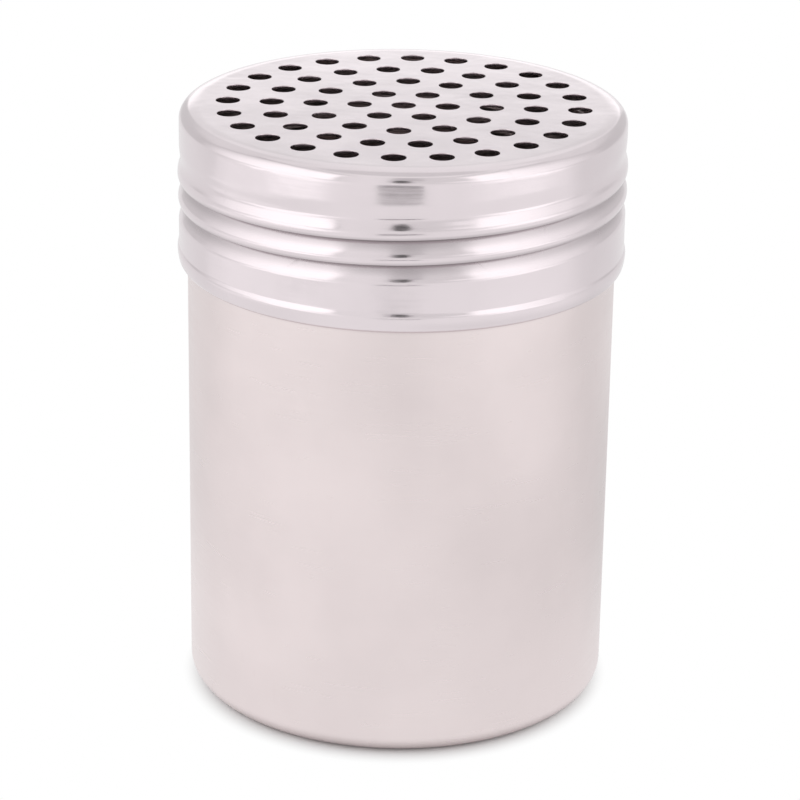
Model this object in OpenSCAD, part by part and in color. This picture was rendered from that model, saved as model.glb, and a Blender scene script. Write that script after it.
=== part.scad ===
// Screw-top spice shaker: a drawn sheet-metal canister with a thread rolled into its neck,
// and a lid with sprinkling holes in its flat top and the same thread pressed into its wall.
// Z is up, the shaker stands on z = 0, and its axis is the Z axis.

/* [Overall] */
// Height of the closed shaker
total_h = 95; // [78:1:130]

/* [Canister] */
// Outside diameter of the canister
can_d = 66.9; // [55:0.1:80]
// Thickness of the canister's sheet
can_t = 0.5; // [0.4:0.05:0.6]
// Outside radius of the corner between the wall and the base
base_corner_r = 3; // [1:0.1:4]
// Width of the flat ring that the canister stands on
foot_w = 4; // [2.5:0.1:8]
// Height of the base's middle above the foot ring
base_rise = 0.8; // [0.4:0.1:1.5]
// Outside radius of the turned-in edge at the mouth
mouth_r = 1.2; // [0.8:0.1:2]

/* [Lid] */
// How far the lid's wall stands out from the canister's wall
lid_overhang = 1.4; // [1.1:0.05:1.6]
// Height of the lid
lid_h = 24.9; // [20.6:0.1:34]
// Thickness of the lid's sheet
lid_t = 0.5; // [0.4:0.05:0.6]
// Outside radius of the corner between the lid's wall and its top
lid_corner_r = 2; // [1.2:0.1:3]
// Outside radius of the rolled bottom edge
hem_r = 2.8; // [2.2:0.1:3.2]
// How far the rolled bottom edge stands proud of the wall
hem_proud = 0.15; // [0.1:0.01:0.3]

/* [Sprinkling holes] */
// Diameter of each hole
hole_d = 3.8; // [2:0.1:4.7]
// Rings of holes around the middle hole, each with six more holes than the last
hole_rings = 4; // [2:1:4]
// Width of the plain band between the outermost holes and the lid's rounded corner
edge_margin = 3.75; // [2.4:0.05:8]

/* [Thread] */
// Rise of the thread in one turn
thread_pitch = 3.85; // [3.1:0.05:4.5]
// Depth of the thread pressed into the lid
lid_thread_depth = 1.3; // [0.6:0.05:1.5]
// Depth of the thread rolled into the neck
neck_thread_depth = 0.8; // [0.5:0.05:1]
// Height of the short steep flank under each ridge
flank_low = 0.9; // [0.6:0.05:1.5]
// Turns of thread on the lid
lid_thread_turns = 2; // [1.5:0.1:2.2]
// Height of the plain band between the neck's thread and its mouth
mouth_band = 3; // [2.4:0.1:5]
// Height of the thread's lower end above the lid's bottom edge
thread_start_h = 9.15; // [8:0.05:10]
// Direction of the thread's lower end, anticlockwise from +X
thread_start_az = 143; // [0:1:359]

/* [Clearances] */
// Radial gap between the lid's thread and the neck
thread_gap = 0.3; // [0.25:0.05:0.5]
// Radial gap between the lid's rolled edge and the canister's wall
hem_gap = 0.3; // [0.25:0.05:0.5]
// Gap between the mouth and the underside of the lid's top
seat_gap = 0.3; // [0.2:0.05:0.5]

/* [Hidden] */
$fn = 120;

// radii from the axis
can_r = can_d / 2;
lid_r = can_r + lid_overhang;
lid_in_r = lid_r - lid_t;
neck_r = lid_in_r - lid_thread_depth - thread_gap;
neck_in_r = neck_r - can_t;
ring_step = (lid_r - lid_corner_r - edge_margin - hole_d / 2) / hole_rings;

// heights from the surface that the shaker stands on
lid_z0 = total_h - lid_h;
mouth_z = total_h - lid_t - seat_gap;
thread_z = lid_z0 + thread_start_h;

// thread form: a long easy flank above each ridge
flank_high = thread_pitch - flank_low;
flank_high_power = 1.6;
run_in = 60;
run_out = 120;

// the threaded walls: columns round the axis, rows up it, and how they tuck into the plain walls
columns = 72;
row_h = 0.5;
lap = 0.6;
tuck = 0.15;
eps = 0.01;

// ends of the threaded walls
thread_z0 = thread_z - flank_high - lap;
lid_thread_z1 = thread_z + lid_thread_turns * thread_pitch + flank_low + lap;
neck_thread_z1 = mouth_z - mouth_band;
neck_thread_turns = (neck_thread_z1 - lap - flank_low - thread_z) / thread_pitch;

// rolled bottom edge of the lid: a circular arc whose inner end clears the canister
hem_cx = lid_r + hem_proud - hem_r;
hem_top_a = acos((hem_r - hem_proud) / hem_r);
hem_lip_a = acos((can_r + hem_gap - hem_cx) / (hem_r - lid_t));
hem_cz = lid_z0 + hem_r * sin(hem_lip_a);

// shoulder from the canister's wall in to its neck
shoulder_z0 = hem_cz;
shoulder_z1 = shoulder_z0 + 2.2;

// ---------- thread form ----------

function smooth(x) = let (c = min(1, max(0, x))) c * c * (3 - 2 * c);

// How much of the full depth the thread has at angle a from its lower end
function fade(a, turns) = smooth(a / run_in) * smooth((turns * 360 - a) / run_out);

// Share of the depth at height s above the bottom of the groove
function groove(s) =
    s >= flank_low || s <= -flank_high ? 0
    : s >= 0 ? pow(1 - s / flank_low, 2)
    : pow(1 + s / flank_high, flank_high_power);

// Share of the depth at direction az and height z: every turn that passes there adds its own
function thread_share(az, z, turns, k = 0) =
    let (a = (az - thread_start_az + 720) % 360 + 360 * k)
    a > turns * 360 ? 0
    : fade(a, turns) * groove(z - thread_z - thread_pitch * a / 360)
        + thread_share(az, z, turns, k + 1);

// Points of a ring at height z, pulled in by the thread
function thread_ring(r, z, depth, turns) = [
    for (i = [0:columns - 1])
        let (az = 360 * i / columns, d = r - depth * thread_share(az, z, turns))
        [d * cos(az), d * sin(az), z]
];

// Triangles between ring number low and ring number high, facing out, or in when flip is set
function band(low, high, flip = false) = [
    for (i = [0:columns - 1])
        let (
            k = (i + 1) % columns,
            a = low * columns + i,
            b = low * columns + k,
            c = high * columns + k,
            d = high * columns + i
        )
        each flip ? [[a, c, b], [a, d, c]] : [[a, b, c], [a, c, d]]
];

// A thin tube of outside radius r and thickness t with the thread pressed into it from outside.
// Both ends narrow by the tuck, so that they lie inside the walls above and below.
module threaded_tube(r, t, z0, z1, depth, turns) {
    rows = ceil((z1 - z0 - 2 * lap) / row_h);
    heights = [for (j = [0:rows]) z0 + lap + (z1 - z0 - 2 * lap) * j / rows];
    outer = [
        thread_ring(r - tuck, z0 - lap, 0, turns),
        for (z = heights) thread_ring(r, z, depth, turns),
        thread_ring(r - tuck, z1 + lap, 0, turns)
    ];
    inner = [
        thread_ring(r - t + tuck, z0 - lap, 0, turns),
        for (z = heights) thread_ring(r - t, z, depth, turns),
        thread_ring(r - t + tuck, z1 + lap, 0, turns)
    ];
    rings = len(outer);
    points = [for (ring = concat(outer, inner)) each ring];
    faces = [
        for (j = [0:rings - 2]) each band(j, j + 1),
        for (j = [0:rings - 2]) each band(rings + j, rings + j + 1, true),
        each band(rings, 0),
        each band(rings - 1, 2 * rings - 1)
    ];
    // OpenSCAD wants faces clockwise as seen from outside
    polyhedron(points, [for (f = faces) [f[0], f[2], f[1]]]);
}

// ---------- canister ----------

// Solid of revolution under the sheet, grown by g; the wall is its outside less its inside
module can_outline(g) {
    step_r = can_r - base_corner_r - foot_w;
    difference() {
        union() {
            translate([0, base_corner_r])
                square([can_r - g, shoulder_z0 - base_corner_r]);
            translate([0, g])
                square([can_r - base_corner_r, base_corner_r]);
            translate([can_r - base_corner_r, base_corner_r])
                circle(base_corner_r - g);
            // shoulder and neck
            polygon([
                [0, shoulder_z0 - eps],
                [can_r - g, shoulder_z0 - eps],
                [can_r - g, shoulder_z0],
                [neck_r - g, shoulder_z1],
                [neck_r - g, thread_z0],
                [0, thread_z0]
            ]);
        }
        // raised middle of the base
        polygon([
            [-1, -1],
            [step_r, -1],
            [step_r, g],
            [step_r - base_rise, base_rise + g],
            [-1, base_rise + g]
        ]);
    }
}

// Cup from the base to the foot of the thread
module can_cup() {
    rotate_extrude()
        difference() {
            intersection() {
                can_outline(0);
                square([can_r + 1, thread_z0]);
            }
            intersection() {
                can_outline(can_t);
                square([can_r, total_h]);
            }
        }
}

// Plain wall above the thread, with its edge turned in
module can_mouth() {
    wall_h = mouth_z - neck_thread_z1;
    translate([0, 0, neck_thread_z1])
        rotate_extrude()
            difference() {
                union() {
                    square([neck_r, wall_h - mouth_r]);
                    square([neck_r - mouth_r, wall_h]);
                    translate([neck_r - mouth_r, wall_h - mouth_r]) circle(mouth_r);
                }
                translate([0, -1]) {
                    square([neck_in_r, wall_h - mouth_r + 1]);
                    square([neck_r - mouth_r, wall_h + 2]);
                }
                translate([neck_r - mouth_r, wall_h - mouth_r]) circle(mouth_r - can_t);
            }
}

module canister() {
    color([0.85, 0.82, 0.82]) {
        can_cup();
        threaded_tube(neck_r, can_t, thread_z0, neck_thread_z1, neck_thread_depth, neck_thread_turns);
        can_mouth();
    }
}

// ---------- lid ----------

// One hole in the middle and rings of 6, 12, 18 ... around it
module sprinkling_holes() {
    for (ring = [0:hole_rings])
        for (i = [0:max(1, 6 * ring) - 1])
            rotate(360 * i / max(1, 6 * ring))
                translate([ring * ring_step, 0, total_h - lid_t - 1])
                    cylinder(h = lid_t + 2, d = hole_d, $fn = 32);
}

// Flat top, its corner, and the plain wall above the thread
module lid_top() {
    difference() {
        translate([0, 0, lid_thread_z1])
            rotate_extrude()
                difference() {
                    lid_top_outline(lid_r, total_h - lid_thread_z1, lid_corner_r);
                    translate([0, -1])
                        lid_top_outline(
                            lid_in_r,
                            total_h - lid_thread_z1 - lid_t + 1,
                            lid_corner_r - lid_t
                        );
                }
        sprinkling_holes();
    }
}

// Half section of a solid disc with its upper corner rounded
module lid_top_outline(r, h, corner) {
    square([r, h - corner]);
    square([r - corner, h]);
    translate([r - corner, h - corner]) circle(corner);
}

// Points on the rolled edge's arc of radius r, from angle a0 to a1
function hem_arc(r, a0, a1, steps) = [
    for (i = [0:steps])
        let (a = a0 + (a1 - a0) * i / steps)
        [hem_cx + r * cos(a), hem_cz + r * sin(a)]
];

// Plain wall below the thread, with its bottom edge rolled in towards the canister
module lid_skirt() {
    in_r = hem_r - lid_t;
    in_top_a = acos(min(1, (lid_in_r - hem_cx) / in_r));
    rotate_extrude()
        polygon(concat(
            hem_arc(hem_r, -hem_lip_a, hem_top_a, 10),
            [[lid_r, thread_z0], [lid_in_r, thread_z0]],
            hem_arc(in_r, in_top_a, -hem_lip_a, 10)
        ));
}

module lid() {
    color([0.87, 0.85, 0.87]) {
        lid_skirt();
        threaded_tube(lid_r, lid_t, thread_z0, lid_thread_z1, lid_thread_depth, lid_thread_turns);
        lid_top();
    }
}

canister();
lid();
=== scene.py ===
import math

import bmesh
import bpy
from bpy.props import FloatProperty, FloatVectorProperty, IntProperty, PointerProperty
from bpy.types import Operator, Panel, PropertyGroup
from mathutils import Matrix, Vector


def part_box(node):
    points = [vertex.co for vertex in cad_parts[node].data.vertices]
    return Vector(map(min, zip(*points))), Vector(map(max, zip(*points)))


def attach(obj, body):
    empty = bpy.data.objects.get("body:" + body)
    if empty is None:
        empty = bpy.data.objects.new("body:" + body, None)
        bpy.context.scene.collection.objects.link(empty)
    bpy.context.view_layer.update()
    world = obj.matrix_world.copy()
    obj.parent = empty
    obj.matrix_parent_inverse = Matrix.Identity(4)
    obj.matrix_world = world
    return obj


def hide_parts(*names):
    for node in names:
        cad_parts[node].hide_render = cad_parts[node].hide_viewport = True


bl_info = {
    "name": "Spice Shaker",
    "version": (1, 0, 0),
    "blender": (4, 5, 0),
    "location": "3D View > Sidebar > Spice Shaker",
    "description": "Builds a screw-top steel spice shaker and a plain stage round it",
    "category": "Object",
}

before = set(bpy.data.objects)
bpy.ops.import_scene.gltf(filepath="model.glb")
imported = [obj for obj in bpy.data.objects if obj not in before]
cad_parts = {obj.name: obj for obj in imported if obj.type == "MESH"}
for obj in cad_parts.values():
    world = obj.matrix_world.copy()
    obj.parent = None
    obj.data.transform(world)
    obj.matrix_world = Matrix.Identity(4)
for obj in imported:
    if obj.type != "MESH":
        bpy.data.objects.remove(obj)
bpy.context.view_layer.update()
_, CAN_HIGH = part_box("canister")
_, LID_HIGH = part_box("lid")

MM = 0.001
TAU = 2 * math.pi
# points nearer to each other than this count as one
TINY = 4e-6
# the camera: degrees from it to the first hole of each ring, degrees that it looks down and
# leans, its lens, and its place in millimetres
CAMERA_TURN = 2.8
CAMERA_DOWN = 21.565
CAMERA_ROLL = 0.899
CAMERA_LENS = 144.42
CAMERA_PLACE = (0.15, -476.588, 234.477)
# shares of the steel's colour in its darkest and its lightest clouds, the colour of the painted
# shade in creases and beside close edges, and the depth of a scratch
DARKER, LIGHTER = 0.955, 1.025
PAINTED_SHADE_COLOUR = (0.03, 0.026, 0.025, 1)
SCRATCH_BUMP = 1e-5


# ---------- sizes and colours that a user may change ----------


def length(name, text, value, low=0.0, high=1.0):
    """A length in metres, shown in the scene's own unit."""
    return FloatProperty(
        name=name, description=text, default=value, min=low, max=high, precision=5, unit="LENGTH"
    )


class CanisterSizes(PropertyGroup):
    wall_radius: length("Wall radius", "Outside radius of the straight wall", 33.45 * MM)
    sheet: length("Sheet", "Thickness of the canister's sheet", 0.5 * MM)
    corner: length("Bottom corner", "Outside radius of the corner under the wall", 3.0 * MM)
    foot: length("Foot ring", "Width of the flat ring that the canister stands on", 4.0 * MM)
    rise: length("Base rise", "Height of the base's middle above the foot ring", 0.8 * MM)
    shoulder: length("Shoulder height", "Height where the wall turns in to the neck", 72.3 * MM)
    shoulder_run: length("Shoulder run", "Height of the sloping shoulder", 2.2 * MM)
    neck_radius: length("Neck radius", "Outside radius of the neck", 32.7 * MM)
    mouth: length("Mouth height", "Height of the mouth's turned-in edge", CAN_HIGH.z)
    mouth_roll: length("Mouth roll", "Outside radius of the turned-in edge", 1.2 * MM)


class LidSizes(PropertyGroup):
    wall_radius: length("Wall radius", "Outside radius of the wall under the top", 34.62 * MM)
    crest_radius: length("Crest radius", "Outside radius of the thread's beads", 34.88 * MM)
    band_radius: length("Band radius", "Outside radius of the plain band below it", 34.75 * MM)
    sheet: length("Sheet", "Thickness of the lid's sheet", 0.5 * MM)
    top: length("Top height", "Height of the flat top", LID_HIGH.z)
    corner: length("Top corner", "Bend of the corner round the top, next to the wall", 1.8 * MM)
    corner_middle: length("Corner middle", "Bend of the corner's upper part", 2.6 * MM)
    corner_soft: length("Corner edge", "Slow bend next to the flat top", 8.0 * MM)
    hem_radius: length("Hem radius", "Largest radius of the rolled bottom edge", 34.98 * MM)
    hem_height: length("Hem height", "Height at which the rolled edge is widest", 72.5 * MM)
    hem_crown: length("Hem crown", "Bend of the rolled edge above its widest place", 1.6 * MM)
    hem_valley: length("Hem valley", "Bend of the soft valley above the rolled edge", 0.7 * MM)
    hem_side: length("Hem side", "Slow bend of the rolled edge below its widest place", 5.9 * MM)
    hem_curl: length("Hem curl", "Tight bend where the rolled edge turns under", 1.24 * MM)
    valley_depth: length("Valley depth", "Depth of the soft valley above the thread", 0.16 * MM)
    valley_above: length("Valley's upper side", "Height of the valley above its bottom", 2.2 * MM)
    valley_below: length("Valley's lower side", "Height of the valley below its bottom", 2.35 * MM)
    valley_drop: length("Valley drop", "How far the valley lies under the next turn", 0.49 * MM)


class ThreadSizes(PropertyGroup):
    pitch: length("Pitch", "Rise of the thread in one turn", 3.85 * MM)
    start: length("Start height", "Height of the groove at its lower end", 79.25 * MM)
    lip: length("Lip", "Height of the shelf between a bead's lip and the groove", 0.2 * MM)
    crest: length("Crest", "Height of a bead's widest place above the groove below it", 0.93 * MM)
    bead_under: length("Bead underside", "Bend of a bead below its widest place", 1.5 * MM)
    bead_upper: length("Bead upper side", "Bend of a bead above its widest place", 2.1 * MM)
    groove_bend: length("Groove bend", "Bend at the bottom of the groove", 0.5 * MM)
    flank: FloatProperty(
        name="Flank",
        description="Slope of the bead's side above the groove, from upright",
        default=math.radians(31),
        subtype="ANGLE",
    )
    neck_share: FloatProperty(
        name="Share on the neck",
        description="Depth of the neck's thread over the depth of the lid's",
        default=0.73,
        min=0,
        max=1,
    )
    start_angle: FloatProperty(
        name="Start direction",
        description="Direction of the thread's lower end, anticlockwise from +X",
        default=math.radians(143),
        subtype="ANGLE",
    )
    lid_turns: FloatProperty(
        name="Turns on the lid",
        description="Turns of thread on the lid",
        default=2.0,
        min=1,
        max=3,
    )
    neck_turns: FloatProperty(
        name="Turns on the neck",
        description="Turns of thread on the neck",
        default=2.8,
        min=1,
        max=3,
    )


class HoleSizes(PropertyGroup):
    radius: length("Hole radius", "Radius of each sprinkling hole", 1.89 * MM)
    step: length("Ring step", "Distance from one ring of holes to the next", 6.8 * MM)
    rim: length("Rim", "Rounding that the punch leaves at the upper edge", 0.07 * MM)
    rings: IntProperty(
        name="Rings", description="Rings of holes round the middle hole", default=4, min=1, max=6
    )


class SteelColours(PropertyGroup):
    satin: FloatVectorProperty(
        name="Satin steel",
        description="Colour of the canister's satin steel",
        default=(0.775, 0.69, 0.69),
        subtype="COLOR",
        min=0,
        max=1,
    )
    polished: FloatVectorProperty(
        name="Polished steel",
        description="Colour of the lid's polished steel",
        default=(0.752, 0.682, 0.708),
        subtype="COLOR",
        min=0,
        max=1,
    )


class StageSizes(PropertyGroup):
    floor_radius: length("Floor radius", "Radius of the pale floor", 1.6, 0.1, 10)
    lamp_away: length("Lamp distance", "Distance of each lamp from the shaker", 1.3, 0.5, 5)
    lamp_wide: length("Lamp width", "Width of each lamp's face", 3.2, 0.1, 5)
    lamp_tall: length("Lamp height", "Height of each lamp's face", 2.7, 0.1, 5)
    lamp_left: FloatProperty(
        name="Left lamp", description="Brightness of the left lamp's face", default=1.5, min=0
    )
    lamp_right: FloatProperty(
        name="Right lamp", description="Brightness of the right lamp's face", default=1.42, min=0
    )
    fill: FloatProperty(
        name="Fill", description="Strength of the even light from all round", default=0.55, min=0
    )
    floor_colour: FloatVectorProperty(
        name="Floor",
        description="Colour of the floor",
        default=(0.86, 0.86, 0.86),
        subtype="COLOR",
        min=0,
        max=1,
    )


# ---------- fixed numbers of the shaping ----------

# heights of the mesh lines that climb with the thread, for a pitch of the last one: close at the
# lip and at the sharp bottom
ROWS = (
    (0, 0.05, 0.1, 0.15, 0.2, 0.27, 0.35, 0.45, 0.57, 0.72, 0.88, 1.05, 1.24, 1.44, 1.65)
    + (1.87, 2.09, 2.31, 2.5, 2.75, 3.05, 3.33, 3.45, 3.55, 3.64, 3.72, 3.79, 3.85)
)
# degrees over which a thread grows at its lower end and dies away at its upper end
RUN_IN, RUN_OUT = 60, 120
# turns at which the valley above the thread begins and ends, counted from the thread's end
VALLEY_FIRST, VALLEY_LAST = -0.34, 0.85
# slope of the valley's lower side at shares of its height
VALLEY_SIDE = ((0, 0), (0.21, 0.2), (0.4, 0.25), (0.62, 0.335), (0.78, 0.12), (1, 0))
# mesh columns round the neck and round the lid
NECK_COLUMNS, LID_COLUMNS = 192, 240
# pitches of plain wall below and above the neck's thread, and below the lid's
NECK_BELOW, NECK_ABOVE, LID_BELOW = 0.9, 0.2, 0.68
# heights of the lines under the shoulder that carry the painted shade below the lid's edge
SHADE_LINES = (0, 0.4, 0.8, 1.2, 1.6)
# painted shade on edges that sit close to another part or to the floor, as a share of the
# painted shade at a groove's bottom
EDGE_PAINTED_SHADE = 0.42
# degrees of tilt where the bends of the lid's top corner meet, and the steps in each bend
CORNER_TILTS = (90, 80, 58, 0)
CORNER_STEPS = (4, 5, 10)
# degrees of tilt where the lid's rolled edge turns under, and at its end
HEM_TILTS = (-15, -75)
# turns above the thread's start where the lid's plain wall starts to widen from the band to the
# crests, and the turns that it takes
WIDEN_FROM, WIDEN_OVER = -0.4, 1.5
# share of a turn where the narrowing above the top bead starts to drop back
DROP_FROM = 0.75
# angle through which the canister's mouth is turned in
MOUTH_TURN = math.pi * 0.62
# sides of a sprinkling hole
HOLE_SIDES = 28
# edges sharper than this many degrees are shaded sharp, next to flat faces and elsewhere
FLAT_LIMIT, ROUND_LIMIT = 12, 50


# ---------- shaping helpers ----------


def merge(bm):
    """Joins points that lie on each other."""
    bmesh.ops.remove_doubles(bm, verts=bm.verts[:], dist=TINY)


def ring_edges(bm, radius, height, slack=5e-5):
    """Edges that lie on the circle of that radius and height."""

    def on(v):
        return abs(v.co.z - height) < slack and abs(v.co.xy.length - radius) < slack

    return [e for e in bm.edges if on(e.verts[0]) and on(e.verts[1])]


def round_ring(bm, radius, height, size, segments):
    """Rounds the edge that runs round at that radius and height."""
    bmesh.ops.bevel(
        bm,
        geom=ring_edges(bm, radius, height),
        offset=size,
        offset_type="OFFSET",
        segments=segments,
        profile=0.5,
        affect="EDGES",
        material=-1,
        clamp_overlap=True,
    )


def draw_out(bm, edges, targets):
    """Extrudes a ring of edges through (radius, height) targets and returns the last ring."""
    for radius, height in targets:
        grown = bmesh.ops.extrude_edge_only(bm, edges=edges)["geom"]
        verts = [g for g in grown if isinstance(g, bmesh.types.BMVert)]
        edges = [g for g in grown if isinstance(g, bmesh.types.BMEdge)]
        now = verts[0].co.xy.length
        bmesh.ops.scale(bm, vec=(radius / now, radius / now, 1), verts=verts)
        bmesh.ops.translate(bm, vec=(0, 0, height - verts[0].co.z), verts=verts)
    return edges


def arc(cx, cz, r, a0, a1, steps):
    """Points of a circular arc in a section, both ends included."""
    return [
        (
            cx + r * math.cos(a0 + (a1 - a0) * i / steps),
            cz + r * math.sin(a0 + (a1 - a0) * i / steps),
        )
        for i in range(steps + 1)
    ]


def smooth(x):
    """Goes from 0 to 1 without a kink as x does."""
    x = min(1.0, max(0.0, x))
    return x * x * (3 - 2 * x)


def bend(path, radius, tilt, to_tilt, steps):
    """Carries a section path on downwards through a bend. Tilt 0 faces straight out, more faces
    upwards and less downwards."""
    r, z = path[-1]
    way = 1 if to_tilt > tilt else -1
    for i in range(1, steps + 1):
        now = tilt + (to_tilt - tilt) * i / steps
        path.append(
            (
                r + way * radius * (math.cos(tilt) - math.cos(now)),
                z - way * radius * (math.sin(now) - math.sin(tilt)),
            )
        )


def thread_rows(t):
    """Heights above a groove's bottom of the mesh lines that climb with the thread."""
    return [h / ROWS[-1] * t.pitch for h in ROWS]


def flank_ends(t):
    """Distances of the flank's two ends from the crest and from the groove's bottom."""
    return t.bead_upper * math.sin(t.flank), t.groove_bend * math.sin(t.flank)


def groove_depth(t):
    """Depth of the groove under the crests."""
    straight = t.pitch - t.crest - sum(flank_ends(t))
    bends = (t.bead_upper + t.groove_bend) * (1 - math.cos(t.flank))
    return bends + straight * math.tan(t.flank)


def bead_inset(t, s):
    """How far the surface lies inside the crests at height s above a groove's bottom: the shelf
    under the lip, the bead above the groove, and the bead below it with its flank."""
    upper = t.pitch - t.crest
    flank_low, flank_high = flank_ends(t)
    deep = groove_depth(t)
    if 0 <= s < t.lip:
        lip = t.bead_under - math.sqrt(t.bead_under**2 - (t.crest - t.lip) ** 2)
        return deep + (lip - deep) * s / t.lip
    if t.lip <= s < t.crest:
        return t.bead_under - math.sqrt(t.bead_under**2 - (t.crest - s) ** 2)
    if -upper < s < -upper + flank_low:
        return t.bead_upper - math.sqrt(t.bead_upper**2 - (s + upper) ** 2)
    if -upper < s < -flank_high:
        bend_in = t.bead_upper * (1 - math.cos(t.flank))
        return bend_in + (s + upper - flank_low) * math.tan(t.flank)
    if -upper < s < 0:
        return deep - t.groove_bend + math.sqrt(t.groove_bend**2 - s**2)
    return 0.0


def fade(a, first, run_in, last, run_out):
    """Grows from 0 at the first angle and dies away by the last."""
    return smooth((a - first) / math.radians(run_in)) * smooth((last - a) / math.radians(run_out))


def bead_painted_shade(t, s):
    """How much painted shade the thread gets at height s above a groove's bottom, from 0 to 1."""
    return 1 - s / t.crest if 0 <= s < t.crest else bead_inset(t, s) / groove_depth(t)


def along_thread(t, turns, angle, z, shape):
    """Adds up shape(t, s) over the thread's turns at a direction and a height."""
    found = 0.0
    a = (angle - t.start_angle) % TAU
    while a < turns * TAU:
        share = fade(a, 0, RUN_IN, turns * TAU, RUN_OUT)
        found += share * shape(t, z - t.start - t.pitch * a / TAU)
        a += TAU
    return found


def thread_inset(t, turns, angle, z):
    """How far the thread pulls the wall in."""
    return along_thread(t, turns, angle, z, bead_inset)


def valley_side(u):
    """Share of the valley's depth left at share u of its lower side, from the side's slopes."""
    done = whole = 0.0
    for (a, p), (b, q) in zip(VALLEY_SIDE, VALLEY_SIDE[1:]):
        whole += (b - a) * (p + q) / 2
        k = min(1.0, max(0.0, (u - a) / (b - a)))
        done += (b - a) * k * (p + (q - p) * k / 2)
    return 1 - done / whole


def valley_inset(t, c, angle, z):
    """How far the soft valley above the thread's end pulls the lid's wall in."""
    inset = 0.0
    first, last = (t.lid_turns + VALLEY_FIRST) * TAU, (t.lid_turns + VALLEY_LAST) * TAU
    a = (angle - t.start_angle) % TAU
    while a < last:
        s = z - t.start + c.valley_drop - t.pitch * a / TAU
        u = s / c.valley_above if s > 0 else -s / c.valley_below
        if a > first and u < 1:
            share = 0.5 * (1 + math.cos(math.pi * u)) if s > 0 else valley_side(u)
            inset += fade(a, first, RUN_OUT, last, RUN_OUT) * share
        a += TAU
    return inset * c.valley_depth


def threaded_skin(bm, t, low, high, columns, turns, surface):
    """A tube from low to high whose mesh lines climb with the thread. surface(angle, height) gives
    its radius. The attribute "groove" holds the painted shade of the thread's creases. Returns the
    tube's lower and its upper ring of edges."""
    rows = thread_rows(t)
    below = math.ceil((t.start - low) / t.pitch) + 1
    first = t.start - below * t.pitch
    rounds = math.ceil((high - first) / t.pitch) + 1
    radius = surface(0, high)
    c, s = math.cos(t.start_angle), math.sin(t.start_angle)
    verts = [bm.verts.new((radius * c, radius * s, first + h)) for h in rows]
    edges = [bm.edges.new(pair) for pair in zip(verts, verts[1:])]
    bmesh.ops.spin(
        bm,
        geom=verts + edges,
        cent=(0, 0, 0),
        axis=(0, 0, 1),
        angle=TAU,
        dvec=(0, 0, t.pitch / columns),
        steps=columns,
        use_merge=False,
        use_duplicate=False,
    )
    turn = bm.verts[:] + bm.edges[:] + bm.faces[:]
    for k in range(1, rounds):
        copy = bmesh.ops.duplicate(bm, geom=turn)["geom"]
        moved = [g for g in copy if isinstance(g, bmesh.types.BMVert)]
        bmesh.ops.translate(bm, vec=(0, 0, k * t.pitch), verts=moved)
    merge(bm)
    for height, lower in ((low, True), (high, False)):
        bmesh.ops.bisect_plane(
            bm,
            geom=bm.verts[:] + bm.edges[:] + bm.faces[:],
            dist=1e-7,
            plane_co=(0, 0, height),
            plane_no=(0, 0, 1),
            clear_inner=lower,
            clear_outer=not lower,
        )
    merge(bm)
    bmesh.ops.dissolve_degenerate(bm, edges=bm.edges[:], dist=1e-6)
    # the attribute holds painted shade: the dark of the creases under each bead's lip and at each
    # groove's bottom
    groove = bm.verts.layers.float.new("groove")
    for v in bm.verts:
        angle = math.atan2(v.co.y, v.co.x)
        v[groove] = along_thread(t, turns, angle, v.co.z, bead_painted_shade)
        out = surface(angle, v.co.z)
        v.co.x, v.co.y = out * math.cos(angle), out * math.sin(angle)
    ends = [e for e in bm.edges if e.is_boundary]
    return (
        [e for e in ends if all(abs(v.co.z - low) < TINY for v in e.verts)],
        [e for e in ends if all(abs(v.co.z - high) < TINY for v in e.verts)],
    )


def paint_edge_shade(bm, shade_from, shade_full, top=None):
    """Adds the painted shade of an edge that sits close to another part or to the floor, which
    grows from an unshaded height to a fully shaded one. It lies below the unshaded height, or with
    a top, from the unshaded height up to there."""
    groove = bm.verts.layers.float["groove"]
    for v in bm.verts:
        if top is None and v.co.z < shade_from or top and shade_from < v.co.z < top:
            share = smooth((v.co.z - shade_from) / (shade_full - shade_from))
            v[groove] = max(v[groove], EDGE_PAINTED_SHADE * share)


def new_object(name, bm, material):
    """Makes an object at the origin from a bmesh and frees the bmesh."""
    mesh = bpy.data.meshes.new(name)
    bm.to_mesh(mesh)
    bm.free()
    mesh.materials.append(material)
    made = bpy.data.objects.new(name, mesh)
    bpy.context.scene.collection.objects.link(made)
    return made


def finish_piece(bm, name, material, body, node):
    """Makes the object, hides the CAD node that it stands for, and lets it ride on its body."""
    bm.normal_update()
    for f in bm.faces:
        f.smooth = True
    for e in bm.edges:
        # flat faces keep their own even shading up to the roundings that border them
        beside_flat = any(abs(f.normal.z) > 0.99999 for f in e.link_faces)
        limit = FLAT_LIMIT if beside_flat else ROUND_LIMIT
        e.smooth = len(e.link_faces) == 2 and e.calc_face_angle() < math.radians(limit)
    piece = new_object(name, bm, material)
    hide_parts(node)
    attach(piece, body)


# ---------- materials ----------


def map_range(tree, source, low, high, start, end):
    """Goes smoothly from start to end as the source goes from low to high."""
    node = tree.nodes.new("ShaderNodeMapRange")
    node.interpolation_type = "SMOOTHSTEP"
    for key, value in (("From Min", low), ("From Max", high), ("To Min", start), ("To Max", end)):
        node.inputs[key].default_value = value
    tree.links.new(source, node.inputs["Value"])
    return node.outputs["Result"]


def combine(tree, operation, a, b):
    """A math node on two sources, of which either may be a plain float."""
    node = tree.nodes.new("ShaderNodeMath")
    node.operation = operation
    for source, socket in zip((a, b), node.inputs):
        if isinstance(source, float):
            socket.default_value = source
        else:
            tree.links.new(source, socket)
    return node.outputs[0]


def seen_rays(tree):
    """1 for camera, glossy and transmission rays, 0 for the rest."""
    rays = tree.nodes.new("ShaderNodeLightPath").outputs
    seen = combine(tree, "MAXIMUM", rays["Is Camera Ray"], rays["Is Glossy Ray"])
    return combine(tree, "MAXIMUM", seen, rays["Is Transmission Ray"])


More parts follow.
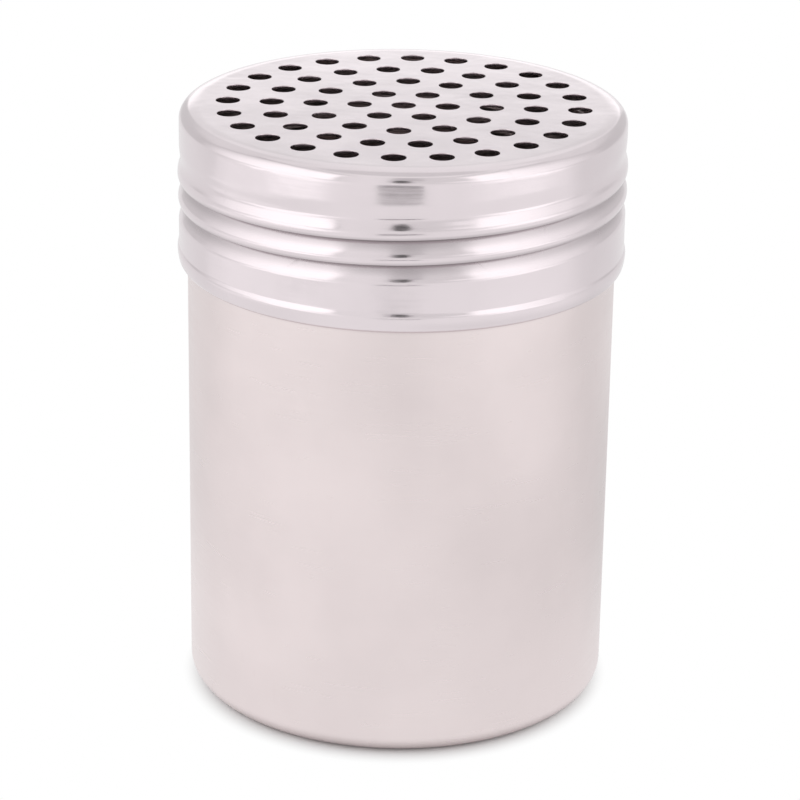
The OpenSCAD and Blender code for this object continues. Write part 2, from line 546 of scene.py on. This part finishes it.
def split_coords(tree):
    """Object coordinates, whole and as separate axes."""
    coords = tree.nodes.new("ShaderNodeTexCoord").outputs["Object"]
    split = tree.nodes.new("ShaderNodeSeparateXYZ")
    tree.links.new(coords, split.inputs[0])
    return coords, split.outputs


def bare_material(name):
    """A material without its shader."""
    mat = bpy.data.materials.new(name)
    mat.use_nodes = True
    mat.node_tree.nodes.remove(mat.node_tree.nodes["Principled BSDF"])
    return mat


def steel(name, colour, rough_low, rough_high, line_bump, ripple_bump):
    """Steel with a colour that drifts a little, painted shade from the groove attribute, turned
    lines, faint smudges and fine scratches.
    """
    mat = bpy.data.materials.new(name)
    mat.use_nodes = True
    tree = mat.node_tree
    nodes, links = tree.nodes, tree.links
    shader = nodes["Principled BSDF"]
    shader.inputs["Metallic"].default_value = 1.0
    coords = nodes.new("ShaderNodeTexCoord")

    def noise(scale, detail, stretch=(1, 1, 1), turn=(0, 0, 0)):
        """A noise on Object coordinates, stretched and turned by a Mapping node."""
        place = nodes.new("ShaderNodeMapping")
        place.inputs["Scale"].default_value = stretch
        place.inputs["Rotation"].default_value = turn
        links.new(coords.outputs["Object"], place.inputs["Vector"])
        node = nodes.new("ShaderNodeTexNoise")
        node.inputs["Scale"].default_value = scale
        node.inputs["Detail"].default_value = detail
        links.new(place.outputs["Vector"], node.inputs["Vector"])
        return node.outputs["Fac"]

    def spread(source, low, high, to_low, to_high):
        return map_range(tree, source, low, high, to_low, to_high)

    def total(a, b):
        return combine(tree, "ADD", a, b)

    def mix(factor, a, b):
        """Goes from colour a, which may be a socket, to colour b."""
        node = nodes.new("ShaderNodeMix")
        node.data_type = "RGBA"
        if isinstance(a, tuple):
            node.inputs["A"].default_value = a
        else:
            links.new(a, node.inputs["A"])
        node.inputs["B"].default_value = b
        links.new(factor, node.inputs["Factor"])
        return node.outputs["Result"]

    def bump(height, distance, before=None):
        node = nodes.new("ShaderNodeBump")
        node.inputs["Strength"].default_value = 1.0
        node.inputs["Distance"].default_value = distance
        links.new(height, node.inputs["Height"])
        if before is not None:
            links.new(before, node.inputs["Normal"])
        return node.outputs["Normal"]

    clouds = noise(scale=45, detail=3)
    smudges = noise(scale=110, detail=4, turn=(0.4, 0.2, 0.7))
    lines = noise(scale=2600, detail=3, stretch=(0.03, 0.03, 1))
    scratch_a = noise(scale=900, detail=2, stretch=(0.06, 1, 0.2), turn=(0.3, 0.5, 0.4))
    scratch_b = noise(scale=1100, detail=2, stretch=(1, 0.07, 0.15), turn=(1.1, 0.2, 2.0))

    darker = (*[c * DARKER for c in colour], 1)
    lighter = (*[min(1, c * LIGHTER) for c in colour], 1)
    tint = mix(spread(clouds, 0.3, 0.7, 0, 1), darker, lighter)
    # painted shade darkens the thread's flanks a little, and more at the bottom of its groove,
    # under each lip and at edges beside the lid's edge and the floor
    groove = nodes.new("ShaderNodeAttribute")
    groove.attribute_name = "groove"
    depth = groove.outputs["Fac"]
    painted_shade = total(spread(depth, 0.2, 0.75, 0, 0.24), spread(depth, 0.84, 1, 0, 0.28))
    links.new(mix(painted_shade, tint, PAINTED_SHADE_COLOUR), shader.inputs["Base Color"])

    marks = total(spread(scratch_a, 0.66, 0.76, 0, 0.10), spread(scratch_b, 0.67, 0.77, 0, 0.08))
    rough = total(
        spread(lines, 0.25, 0.75, rough_low, rough_high), spread(smudges, 0.5, 0.75, 0, 0.06)
    )
    worn = total(rough, spread(depth, 0.2, 0.9, 0, 0.1))
    links.new(total(worn, marks), shader.inputs["Roughness"])

    ripple = bump(noise(scale=160, detail=2), ripple_bump)
    turned_lines = bump(lines, line_bump, ripple)
    links.new(bump(marks, SCRATCH_BUMP, turned_lines), shader.inputs["Normal"])
    return mat


def pale_floor(colour, foot):
    """A matt floor that camera, glossy and transmission rays see as white outside the shaker's
    contact shadow."""
    mat = bare_material("pale_floor")
    tree = mat.node_tree
    nodes, links = tree.nodes, tree.links
    matt = nodes.new("ShaderNodeBsdfDiffuse")
    matt.inputs["Color"].default_value = (*colour, 1)
    white = nodes.new("ShaderNodeEmission")
    white.inputs["Color"].default_value = (1, 1, 1, 1)
    coords, axes = split_coords(tree)

    def away_from(centre):
        """Distance from a point of the floor."""
        shift = nodes.new("ShaderNodeVectorMath")
        shift.operation = "DISTANCE"
        shift.inputs[1].default_value = centre
        links.new(coords, shift.inputs[0])
        return shift.outputs["Value"]

    # painted shade that only glossy rays see: the steel mirrors a floor that is a little darker
    # behind the shaker and close to its right
    near = map_range(tree, away_from((0, 0, 0)), 100 * MM, 180 * MM, 0.09, 0)
    right = map_range(tree, axes["X"], -20 * MM, 60 * MM, 0, 1)
    behind = map_range(tree, axes["Y"], -10 * MM, 70 * MM, 0, 0.12)
    darker = combine(tree, "ADD", behind, combine(tree, "MULTIPLY", near, right))
    glossy = nodes.new("ShaderNodeLightPath").outputs["Is Glossy Ray"]
    mirrored = combine(tree, "MULTIPLY", darker, glossy)
    links.new(combine(tree, "SUBTRACT", 1.0, mirrored), white.inputs["Strength"])
    # the contact shadow reaches a little further on the camera's side
    centre = (0, -1.8 * MM, 0)
    clear = map_range(tree, away_from(centre), foot - 3.5 * MM, foot + 1.4 * MM, 0, 1)
    blend = nodes.new("ShaderNodeMixShader")
    links.new(combine(tree, "MULTIPLY", seen_rays(tree), clear), blend.inputs["Fac"])
    links.new(matt.outputs[0], blend.inputs[1])
    links.new(white.outputs[0], blend.inputs[2])
    links.new(blend.outputs[0], nodes["Material Output"].inputs["Surface"])
    return mat


def glow(name, level, fades=(), dim=None):
    """A face of one even brightness, or one that fades to dim. Each fade is the face's own axis,
    and the places in metres where it starts and ends."""
    mat = bare_material(name)
    tree = mat.node_tree
    face = tree.nodes.new("ShaderNodeEmission")
    face.inputs["Color"].default_value = (1, 1, 1, 1)
    face.inputs["Strength"].default_value = level
    tree.links.new(face.outputs[0], tree.nodes["Material Output"].inputs["Surface"])
    if fades:
        axes = split_coords(tree)[1]
        shares = [map_range(tree, axes[axis], start, end, level, dim) for axis, start, end in fades]
        least = shares[0]
        for share in shares[1:]:
            least = combine(tree, "MINIMUM", least, share)
        tree.links.new(least, face.inputs["Strength"])
    return mat


# ---------- the stage's parts ----------


def turned(point):
    """Takes a point of the camera's own layout from millimetres to metres, and turns it to where
    the holes' rings start."""
    return Matrix.Rotation(math.radians(CAMERA_TURN), 3, "Z") @ Vector(point) * MM


def beside(azimuth):
    """Level direction from the shaker, in degrees from the camera's side, to its right when
    positive."""
    a = math.radians(azimuth - 90 + CAMERA_TURN)
    return Vector((math.cos(a), math.sin(a), 0))


def panel(name, place, facing, wide, tall, material, round_face=False, lights=False):
    """A flat face that stands or lies beside the set, seen only in reflections unless it lights."""
    bm = bmesh.new()
    if round_face:
        bmesh.ops.create_circle(bm, cap_ends=True, radius=0.5, segments=48)
    else:
        bmesh.ops.create_grid(bm, x_segments=1, y_segments=1, size=0.5)
    bmesh.ops.scale(bm, vec=(wide, tall, 1), verts=bm.verts[:])
    face = new_object(name, bm, material)
    face.location = place
    face.rotation_mode = "QUATERNION"
    face.rotation_quaternion = Vector(facing).to_track_quat("Z", "Y")
    face.visible_camera = False
    face.visible_shadow = False
    face.visible_diffuse = lights
    return face


def upright(name, azimuth, away, height, wide, tall, material, lights=False):
    """A panel that stands upright and faces the shaker."""
    way = beside(azimuth)
    place = way * away + Vector((0, 0, height))
    panel(name, place, -way, wide, tall, material, lights=lights)


def surround(fill):
    """A white world for the rays that are seen, and an even light of strength fill."""
    world = bpy.data.worlds.new("surround")
    world.use_nodes = True
    tree = world.node_tree
    shade = tree.nodes["Background"]
    shade.inputs["Color"].default_value = (1, 1, 1, 1)
    level = tree.nodes.new("ShaderNodeMapRange")
    level.inputs["To Min"].default_value = fill
    level.inputs["To Max"].default_value = 1.0
    tree.links.new(seen_rays(tree), level.inputs["Value"])
    tree.links.new(level.outputs["Result"], shade.inputs["Strength"])
    return world


def make_camera(scene, eye):
    """Puts the camera at eye and makes it the scene's."""
    data = bpy.data.cameras.new("camera")
    data.lens = CAMERA_LENS
    data.sensor_width = 36
    data.clip_start = 0.01
    data.clip_end = 20
    camera = bpy.data.objects.new("camera", data)
    scene.collection.objects.link(camera)
    camera.location = eye
    camera.rotation_mode = "QUATERNION"
    look = Matrix.Rotation(math.radians(CAMERA_TURN), 3, "Z") @ (
        Matrix.Rotation(math.radians(90 - CAMERA_DOWN), 3, "X")
        @ Matrix.Rotation(math.radians(CAMERA_ROLL), 3, "Z")
    )
    camera.rotation_quaternion = look.to_quaternion()
    scene.camera = camera


# ---------- the pieces ----------


class SHAKER_OT_canister(Operator):
    """Builds the canister: base, wall, shoulder, threaded neck and turned-in mouth"""

    bl_idname = "shaker.canister"
    bl_label = "Make the canister"

    def execute(self, context):
        c, t = context.scene.shaker_canister, context.scene.shaker_thread
        bm = bmesh.new()
        neck_low = c.shoulder + c.shoulder_run

        def neck(angle, z):
            return c.neck_radius - t.neck_share * thread_inset(t, t.neck_turns, angle, z)

        low, high = threaded_skin(
            bm,
            t,
            t.start - t.pitch * NECK_BELOW,
            t.start + (t.neck_turns + NECK_ABOVE) * t.pitch,
            NECK_COLUMNS,
            t.neck_turns,
            neck,
        )
        foot_in = c.wall_radius - c.corner - c.foot
        # the lid's edge sits at this height, and painted shade darkens the wall from just below it
        # up to the shoulder
        lid_edge_height = c.shoulder - 2.0 * MM
        wall_low = [
            (c.neck_radius, neck_low),
            (c.wall_radius, c.shoulder),
            *((c.wall_radius, lid_edge_height - line * MM) for line in SHADE_LINES),
            (c.wall_radius, c.shoulder * 0.5),
        ]
        corner = arc(c.wall_radius - c.corner, c.corner, c.corner, 0, -math.pi / 2, 8)
        base = [(foot_in, 0), (foot_in - c.rise, c.rise), (foot_in / 2, c.rise), (1e-4, c.rise)]
        inmost = draw_out(bm, low, wall_low + corner + base)
        # painted shade: the contact shadow under the lid's edge, and a darker bottom corner where
        # the canister meets the floor
        paint_edge_shade(bm, lid_edge_height - 1.2 * MM, lid_edge_height - 0.4 * MM, c.shoulder)
        paint_edge_shade(bm, 1.4 * MM, 0.3 * MM)
        # one small face closes the middle of the base
        bmesh.ops.contextual_create(bm, geom=inmost)
        roll_in, roll_low = c.neck_radius - c.mouth_roll, c.mouth - c.mouth_roll
        roll = arc(roll_in, roll_low, c.mouth_roll, 0, MOUTH_TURN, 10)
        draw_out(bm, high, roll)
        for radius, height, size, segments in (
            (c.neck_radius, neck_low, 0.7, 4),
            (c.wall_radius, c.shoulder, 0.7, 5),
            (foot_in, 0, 0.35, 3),
            (foot_in - c.rise, c.rise, 0.35, 3),
        ):
            round_ring(bm, radius, height, size * MM, segments)
        bmesh.ops.recalc_face_normals(bm, faces=bm.faces[:])
        bmesh.ops.solidify(bm, geom=bm.faces[:], thickness=c.sheet)
        colours = context.scene.shaker_steel
        satin = steel("satin_steel", colours.satin, 0.27, 0.33, 4e-6, 2.5e-5)
        finish_piece(bm, "canister_shell", satin, "canister", "canister")
        return {"FINISHED"}


class SHAKER_OT_lid(Operator):
    """Builds the lid: perforated top, rounded corner, threaded wall and rolled bottom edge"""

    bl_idname = "shaker.lid"
    bl_label = "Make the lid"

    def execute(self, context):
        s = context.scene
        c, t, h = s.shaker_lid, s.shaker_thread, s.shaker_holes
        bm = bmesh.new()

        def wall(angle, z):
            rise = (z - t.start) / t.pitch
            wide = smooth((rise - WIDEN_FROM) / WIDEN_OVER)
            plain = c.band_radius + (c.crest_radius - c.band_radius) * wide
            # the wall narrows above the top bead, which climbs round the lid and drops back behind
            climb = (angle - t.start_angle) % TAU / TAU
            climb *= 1 - smooth((climb - DROP_FROM) / (1 - DROP_FROM))
            down = (t.lid_turns + climb - rise) * t.pitch - c.valley_drop
            plain += (c.wall_radius - c.crest_radius) * valley_side(down / c.valley_below)
            return plain - thread_inset(t, t.lid_turns, angle, z) - valley_inset(t, c, angle, z)

        # corner from the flat top down to the wall
        corner = [(0.0, c.top)]
        radii = (c.corner_soft, c.corner_middle, c.corner)
        for radius, tilt, to_tilt, steps in zip(
            radii, CORNER_TILTS, CORNER_TILTS[1:], CORNER_STEPS
        ):
            bend(corner, radius, math.radians(tilt), math.radians(to_tilt), steps)
        flat = c.wall_radius - corner[-1][0]
        corner = [(flat + r, z) for r, z in reversed(corner)]

        low, high = threaded_skin(
            bm,
            t,
            t.start - LID_BELOW * t.pitch,
            corner[0][1] - 0.4 * MM,
            LID_COLUMNS,
            t.lid_turns,
            wall,
        )
        # rolled bottom edge: soft valley, crown, slow side and tight curl
        gain = (c.hem_radius - c.band_radius) / (c.hem_crown + c.hem_valley)
        tilt = math.acos(1 - gain)
        path = [(c.band_radius, c.hem_height + (c.hem_crown + c.hem_valley) * math.sin(tilt))]
        bend(path, c.hem_valley, 0, tilt, 5)
        bend(path, c.hem_crown, tilt, 0, 7)
        under, end = (math.radians(a) for a in HEM_TILTS)
        bend(path, c.hem_side, 0, under, 5)
        bend(path, c.hem_curl, under, end, 7)
        draw_out(bm, low, path)
        edge = path[-1][1]
        # painted shade on the rolled edge's lowest part, where it turns under beside the canister
        paint_edge_shade(bm, edge + 1.0 * MM, edge + 0.2 * MM)
        flat_edge = [(flat - 0.3 * MM, c.top), (flat - 1.2 * MM, c.top)]
        rim = draw_out(bm, high, corner + flat_edge)
        # sprinkling holes
        loops = []
        for ring in range(h.rings + 1):
            count = max(1, 6 * ring)
            for i in range(count):
                a, away = TAU * i / count, ring * h.step
                place = Matrix.Translation((away * math.cos(a), away * math.sin(a), c.top))
                made = bmesh.ops.create_circle(
                    bm, cap_ends=False, radius=h.radius, segments=HOLE_SIDES, matrix=place
                )["verts"]
                loops += {e for v in made for e in v.link_edges}
        bmesh.ops.triangle_fill(bm, edges=rim + loops, use_beauty=True, use_dissolve=False)
        bmesh.ops.recalc_face_normals(bm, faces=bm.faces[:])
        bmesh.ops.solidify(bm, geom=bm.faces[:], thickness=c.sheet)
        # the punch leaves each hole's upper edge a little rounded
        upper = [
            e
            for e in bm.edges
            if all(abs(v.co.z - c.top) < TINY for v in e.verts)
            and any(abs(f.normal.z) < 0.2 for f in e.link_faces)
        ]
        bmesh.ops.bevel(
            bm,
            geom=upper,
            offset=h.rim,
            offset_type="OFFSET",
            segments=3,
            profile=0.5,
            affect="EDGES",
            material=-1,
            clamp_overlap=True,
        )
        colours = s.shaker_steel
        polished = steel("polished_steel", colours.polished, 0.12, 0.18, 3e-6, 4.5e-5)
        finish_piece(bm, "lid_shell", polished, "lid", "lid")
        return {"FINISHED"}


class SHAKER_OT_stage(Operator):
    """Builds the stage: pale floor, two broad soft lamps, grey and white boards, and the camera"""

    bl_idname = "shaker.stage"
    bl_label = "Make the stage"

    def execute(self, context):
        scene = context.scene
        g = scene.shaker_stage
        bm = bmesh.new()
        bmesh.ops.create_circle(bm, cap_ends=True, radius=g.floor_radius, segments=128)
        pale = pale_floor(g.floor_colour, scene.shaker_canister.wall_radius)
        floor = new_object("floor", bm, pale)

        # broad lamps at both sides, brightest towards the camera's side
        half_w, half_h = g.lamp_wide / 2, g.lamp_tall / 2
        for name, azimuth, level, near, far, dim in (
            ("lamp_left", -82, g.lamp_left, (-0.82, -1), (-0.3, 0.8), 0.68),
            ("lamp_right", 83, g.lamp_right, (0.8, 1), (0.6, -0.8), 0.71),
        ):
            sides = [("X", half_w * a, half_w * b) for a, b in (near, far)]
            face = glow(name, level, [("Y", half_h * 0.1, half_h), *sides], dim)
            upright(name, azimuth, g.lamp_away, half_h, g.lamp_wide, g.lamp_tall, face, True)
        # grey faces that the steel mirrors: above, behind at both sides, and behind the camera,
        # with a low bright strip beside it and a backdrop that is brightest low down
        grey = glow("grey_above", 0.8)
        panel("grey_above", (0, 0, 1.7), (0, 0, -1), 1.3, 1.3, grey, round_face=True)
        for name, level, fade_out, dim, azimuth, away, height, wide, tall in (
            ("grey_left", 0.72, ("Y", -0.25, 0.1), 0.9, -143, 1.1, 0.75, 0.9, 1.5),
            ("grey_right", 0.74, ("Y", -0.25, 0.1), 0.9, 140, 1.1, 0.75, 0.9, 1.5),
            ("grey_front", 0.98, ("X", 0.35, -0.35), 0.85, 2, 1.2, 1.1, 1.5, 2.2),
            ("grey_middle", 0.66, None, None, 2, 1.0, 1.05, 0.3, 0.9),
            ("low_strip", 1.15, ("X", -0.1, 0.15), 0.88, 25, 1.15, 0.25, 0.42, 0.2),
            ("backdrop", 1.36, ("Y", -0.09, 0.005), 0.86, 180, 1.5, 0.54, 0.8, 0.5),
        ):
            face = glow(name, level, [fade_out] if fade_out else (), dim)
            upright(name, azimuth, away, height, wide, tall, face)
        # the camera's own dark front, and a dark board that lies before it
        eye = turned(CAMERA_PLACE)
        look_at = Vector((0, 0, 0.085))
        dark = glow("camera_front", 0.08)
        front = turned((-5, -476, 238))
        panel("camera_front", front, look_at - eye, 0.075, 0.225, dark, round_face=True)
        board = glow("dark_board", 0.3)
        panel("dark_board", turned((-5, -363, 1)), (0, 0, 1), 0.125, 0.113, board)
        # white boards on the floor, under the lamps
        for name, azimuth, away, wide, tall, level in (
            ("board_left", -58, 0.7, 0.55, 0.73, g.lamp_left),
            ("board_near", -52, 0.345, 0.25, 0.09, 1.45),
            ("board_side", -80, 0.26, 0.26, 0.11, 1.1),
            ("board_right", 61, 0.7, 0.5, 0.73, g.lamp_right),
        ):
            way = beside(azimuth)
            ends = [("X", wide * 0.2, wide * 0.5), ("X", wide * -0.2, wide * -0.5)]
            face = glow(name, level, ends, 1.0)
            board = panel(name, way * away + Vector((0, 0, 0.001)), (0, 0, 1), wide, tall, face)
            board.rotation_quaternion = Matrix.Rotation(
                math.atan2(way.y, way.x) + math.pi / 2, 3, "Z"
            ).to_quaternion()

        scene.world = surround(g.fill)
        make_camera(scene, eye)
        scene.view_settings.view_transform = "Standard"
        return {"FINISHED"}


class SHAKER_PT_panel(Panel):
    """Lists the sizes and the steps"""

    bl_idname = "SHAKER_PT_panel"
    bl_label = "Spice Shaker"
    bl_space_type = "VIEW_3D"
    bl_region_type = "UI"
    bl_category = "Spice Shaker"

    def draw(self, context):
        for title, group, step in (
            ("Canister", "shaker_canister", "shaker.canister"),
            ("Lid", "shaker_lid", "shaker.lid"),
            ("Thread", "shaker_thread", None),
            ("Holes", "shaker_holes", None),
            ("Steel", "shaker_steel", None),
            ("Stage", "shaker_stage", "shaker.stage"),
        ):
            box = self.layout.box()
            box.label(text=title)
            held = getattr(context.scene, group)
            for key in held.__annotations__:
                box.prop(held, key)
            if step:
                box.operator(step)


GROUPS = {
    "shaker_canister": CanisterSizes,
    "shaker_lid": LidSizes,
    "shaker_thread": ThreadSizes,
    "shaker_holes": HoleSizes,
    "shaker_steel": SteelColours,
    "shaker_stage": StageSizes,
}
CLASSES = (
    *GROUPS.values(),
    SHAKER_OT_canister,
    SHAKER_OT_lid,
    SHAKER_OT_stage,
    SHAKER_PT_panel,
)


def register():
    for cls in CLASSES:
        bpy.utils.register_class(cls)
    for name, cls in GROUPS.items():
        setattr(bpy.types.Scene, name, PointerProperty(type=cls))


def unregister():
    for name in GROUPS:
        delattr(bpy.types.Scene, name)
    for cls in reversed(CLASSES):
        bpy.utils.unregister_class(cls)


def main():
    register()
    bpy.ops.shaker.canister()
    bpy.ops.shaker.lid()
    bpy.ops.shaker.stage()


if __name__ == "__main__":
    main()
